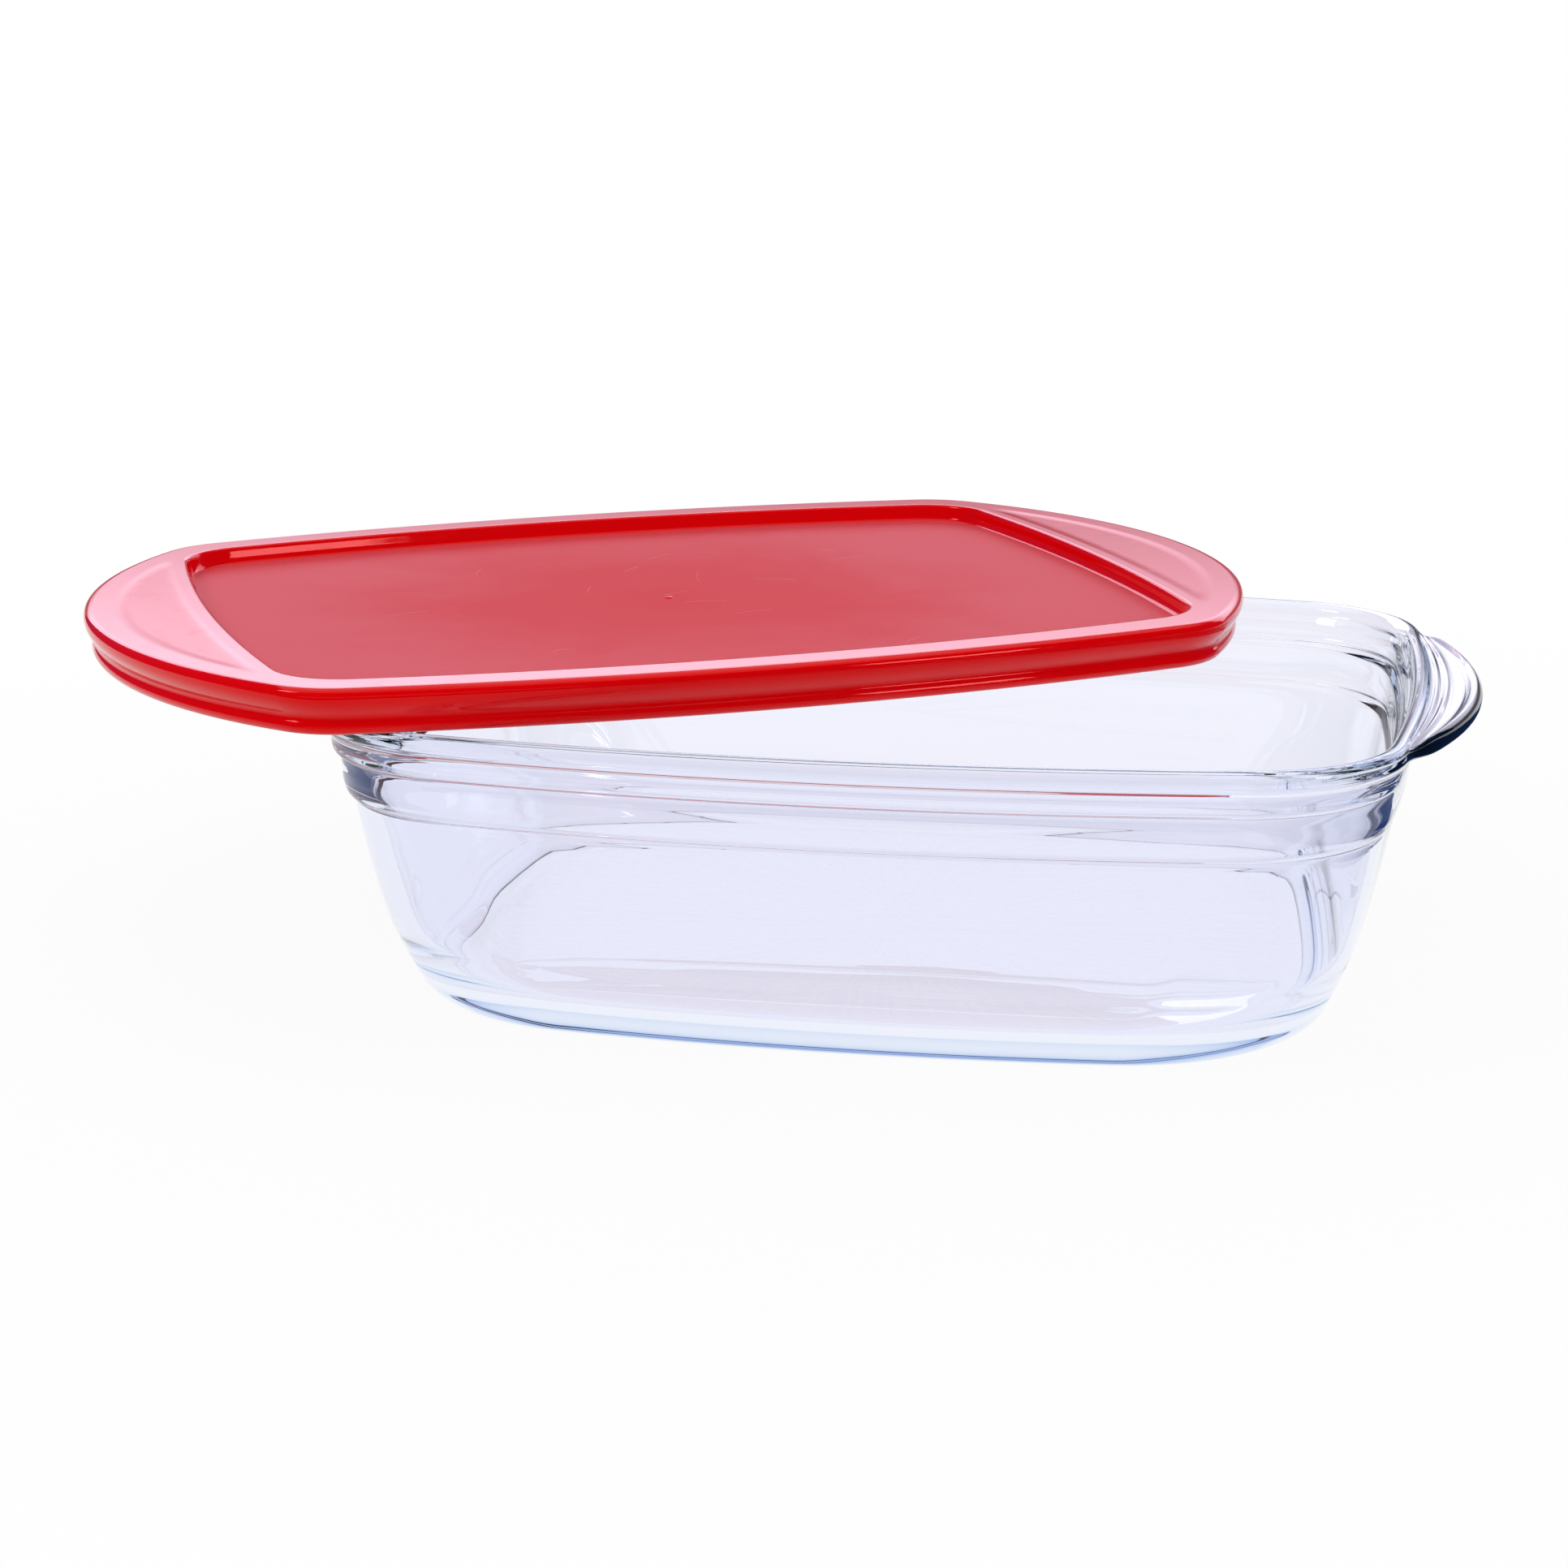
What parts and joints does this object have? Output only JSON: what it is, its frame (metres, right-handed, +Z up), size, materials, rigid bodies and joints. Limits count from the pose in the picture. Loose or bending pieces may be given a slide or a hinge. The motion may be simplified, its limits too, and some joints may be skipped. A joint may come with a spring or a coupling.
{
  "type": "lidded baking dish",
  "caption": "Deep rectangular clear glass baking dish with a wing handle at each end and a red press-on plastic lid lying askew on its rim.",
  "frame": {"origin": "centre of the dish's flat base, on the surface it stands on", "axes": "+X along the dish's long side through the wing handles, +Y to its far long side, +Z up"},
  "size_m": [0.3478, 0.2668, 0.0812],
  "materials": {
    "clear_glass": "clear pressed borosilicate glass, fire polished",
    "red_plastic": "glossy moulded polyethylene, slightly translucent, satin on the sunk panel"
  },
  "bodies": {
    "dish": {"glass_dish": "clear_glass"},
    "lid": {"lid": "red_plastic"}
  },
  "joints": [
    {"name": "lid_lift", "type": "slide", "parent": "dish", "child": "lid", "axis": [0, 0, 1], "range_m": [0, 0.12]}
  ]
}
